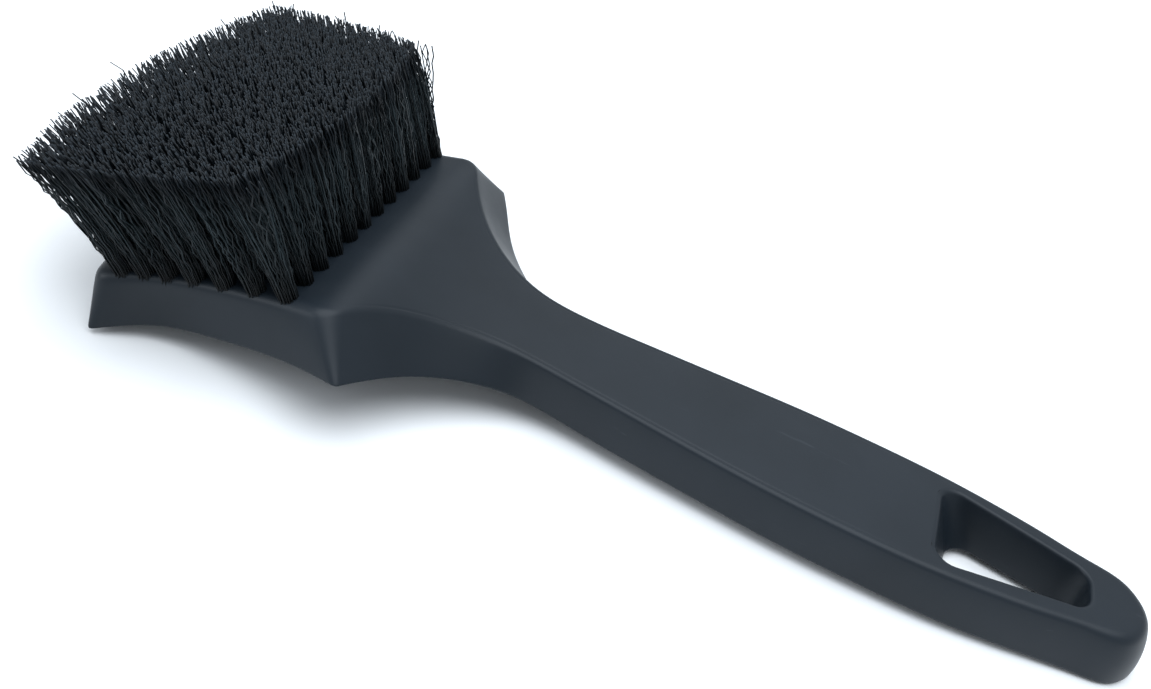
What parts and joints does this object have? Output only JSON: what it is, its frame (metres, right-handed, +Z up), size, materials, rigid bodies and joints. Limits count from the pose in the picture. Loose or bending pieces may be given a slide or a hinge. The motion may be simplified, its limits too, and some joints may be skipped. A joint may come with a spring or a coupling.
{
  "type": "wheel brush",
  "caption": "Short-handled scrub brush with a fan-shaped, forward-bent head of crimped bristles and a hanging hole in the grip.",
  "frame": {"origin": "on the bench under the middle of the whole length, the brush lying on its back with its bristles up", "axes": "+X from the head to the hanging end, +Y across the brush, +Z up, the way the bristles stand"},
  "size_m": [0.2723, 0.105, 0.0519],
  "materials": {
    "moulding": "satin moulded polypropylene, dark slate",
    "bristle": "crimped black polypropylene filament, slight sheen",
    "staple_wire": "flat galvanised wire"
  },
  "bodies": {
    "root": {"brush_body": "moulding", "staple_anchors_row_1": "staple_wire", "tufts_row_1_group_1": "bristle", "tufts_row_1_group_2": "bristle", "tufts_row_1_group_3": "bristle", "tufts_row_1_group_4": "bristle", "tufts_row_1_group_5": "bristle", "tufts_row_1_group_6": "bristle", "staple_anchors_row_2": "staple_wire", "tufts_row_2_group_1": "bristle", "tufts_row_2_group_2": "bristle", "tufts_row_2_group_3": "bristle", "tufts_row_2_group_4": "bristle", "tufts_row_2_group_5": "bristle", "tufts_row_2_group_6": "bristle", "staple_anchors_row_3": "staple_wire", "tufts_row_3_group_1": "bristle", "tufts_row_3_group_2": "bristle", "tufts_row_3_group_3": "bristle", "tufts_row_3_group_4": "bristle", "tufts_row_3_group_5": "bristle", "tufts_row_3_group_6": "bristle", "staple_anchors_row_4": "staple_wire", "tufts_row_4_group_1": "bristle", "tufts_row_4_group_2": "bristle", "tufts_row_4_group_3": "bristle", "tufts_row_4_group_4": "bristle", "tufts_row_4_group_5": "bristle", "tufts_row_4_group_6": "bristle", "staple_anchors_row_5": "staple_wire", "tufts_row_5_group_1": "bristle", "tufts_row_5_group_2": "bristle", "tufts_row_5_group_3": "bristle", "tufts_row_5_group_4": "bristle", "tufts_row_5_group_5": "bristle", "tufts_row_5_group_6": "bristle", "staple_anchors_row_6": "staple_wire", "tufts_row_6_group_1": "bristle", "tufts_row_6_group_2": "bristle", "tufts_row_6_group_3": "bristle", "tufts_row_6_group_4": "bristle", "tufts_row_6_group_5": "bristle", "tufts_row_6_group_6": "bristle", "staple_anchors_row_7": "staple_wire", "tufts_row_7_group_1": "bristle", "tufts_row_7_group_2": "bristle", "tufts_row_7_group_3": "bristle", "tufts_row_7_group_4": "bristle", "tufts_row_7_group_5": "bristle", "tufts_row_7_group_6": "bristle"}
  },
  "joints": []
}
